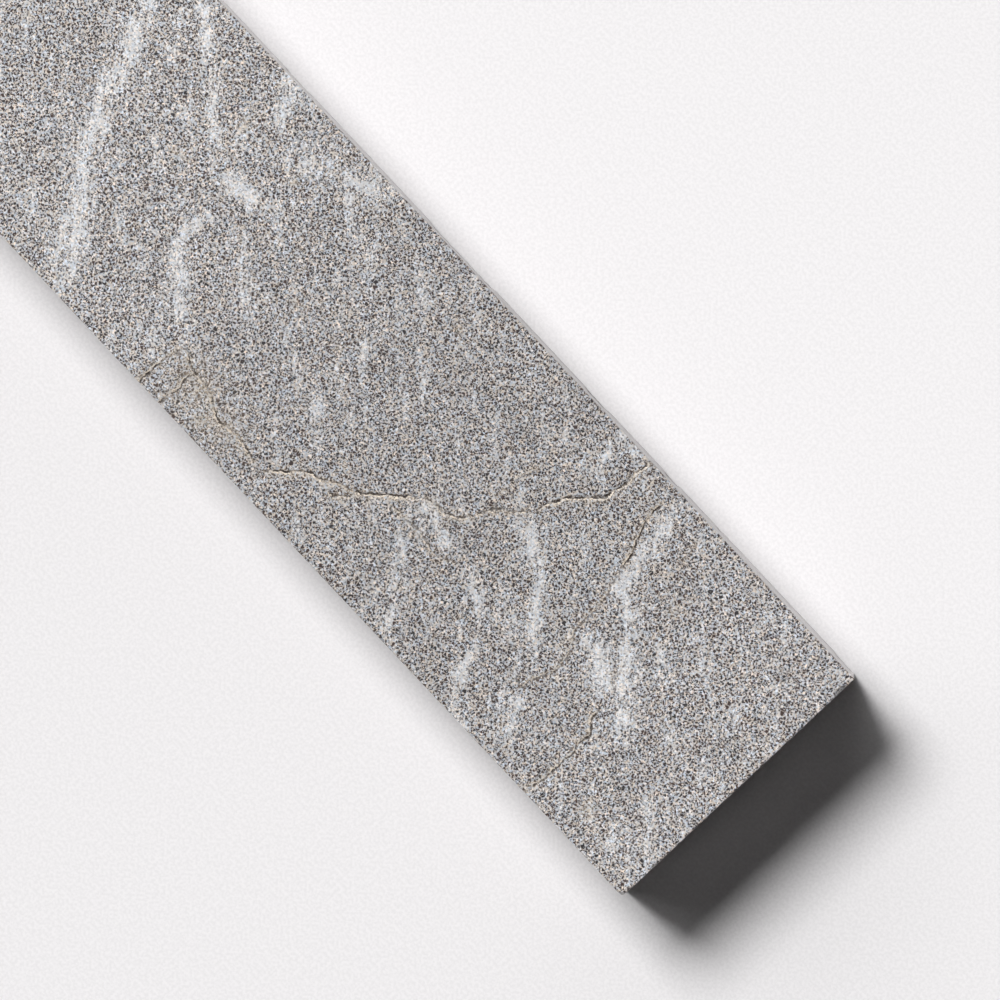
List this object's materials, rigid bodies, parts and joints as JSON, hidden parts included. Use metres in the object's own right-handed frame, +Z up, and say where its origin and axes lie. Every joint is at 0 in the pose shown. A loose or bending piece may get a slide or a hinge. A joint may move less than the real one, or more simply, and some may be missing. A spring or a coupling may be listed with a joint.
{
  "type": "sharpening whetstone",
  "caption": "Rectangular bench whetstone: a sawn bar of speckled grey natural stone with pale veins, brown hairline cracks, worn edges and a small broken corner.",
  "frame": {"origin": "middle of the base, on the surface that the stone lies on", "axes": "+X along the bar, towards the end with the broken corner; +Y across the bar, towards the side that leans in; +Z up, out of the honing face"},
  "size_m": [0.2, 0.05, 0.025],
  "materials": {
    "natural_stone": "matte"
  },
  "bodies": {
    "root": {"whetstone": "natural_stone"}
  },
  "joints": []
}
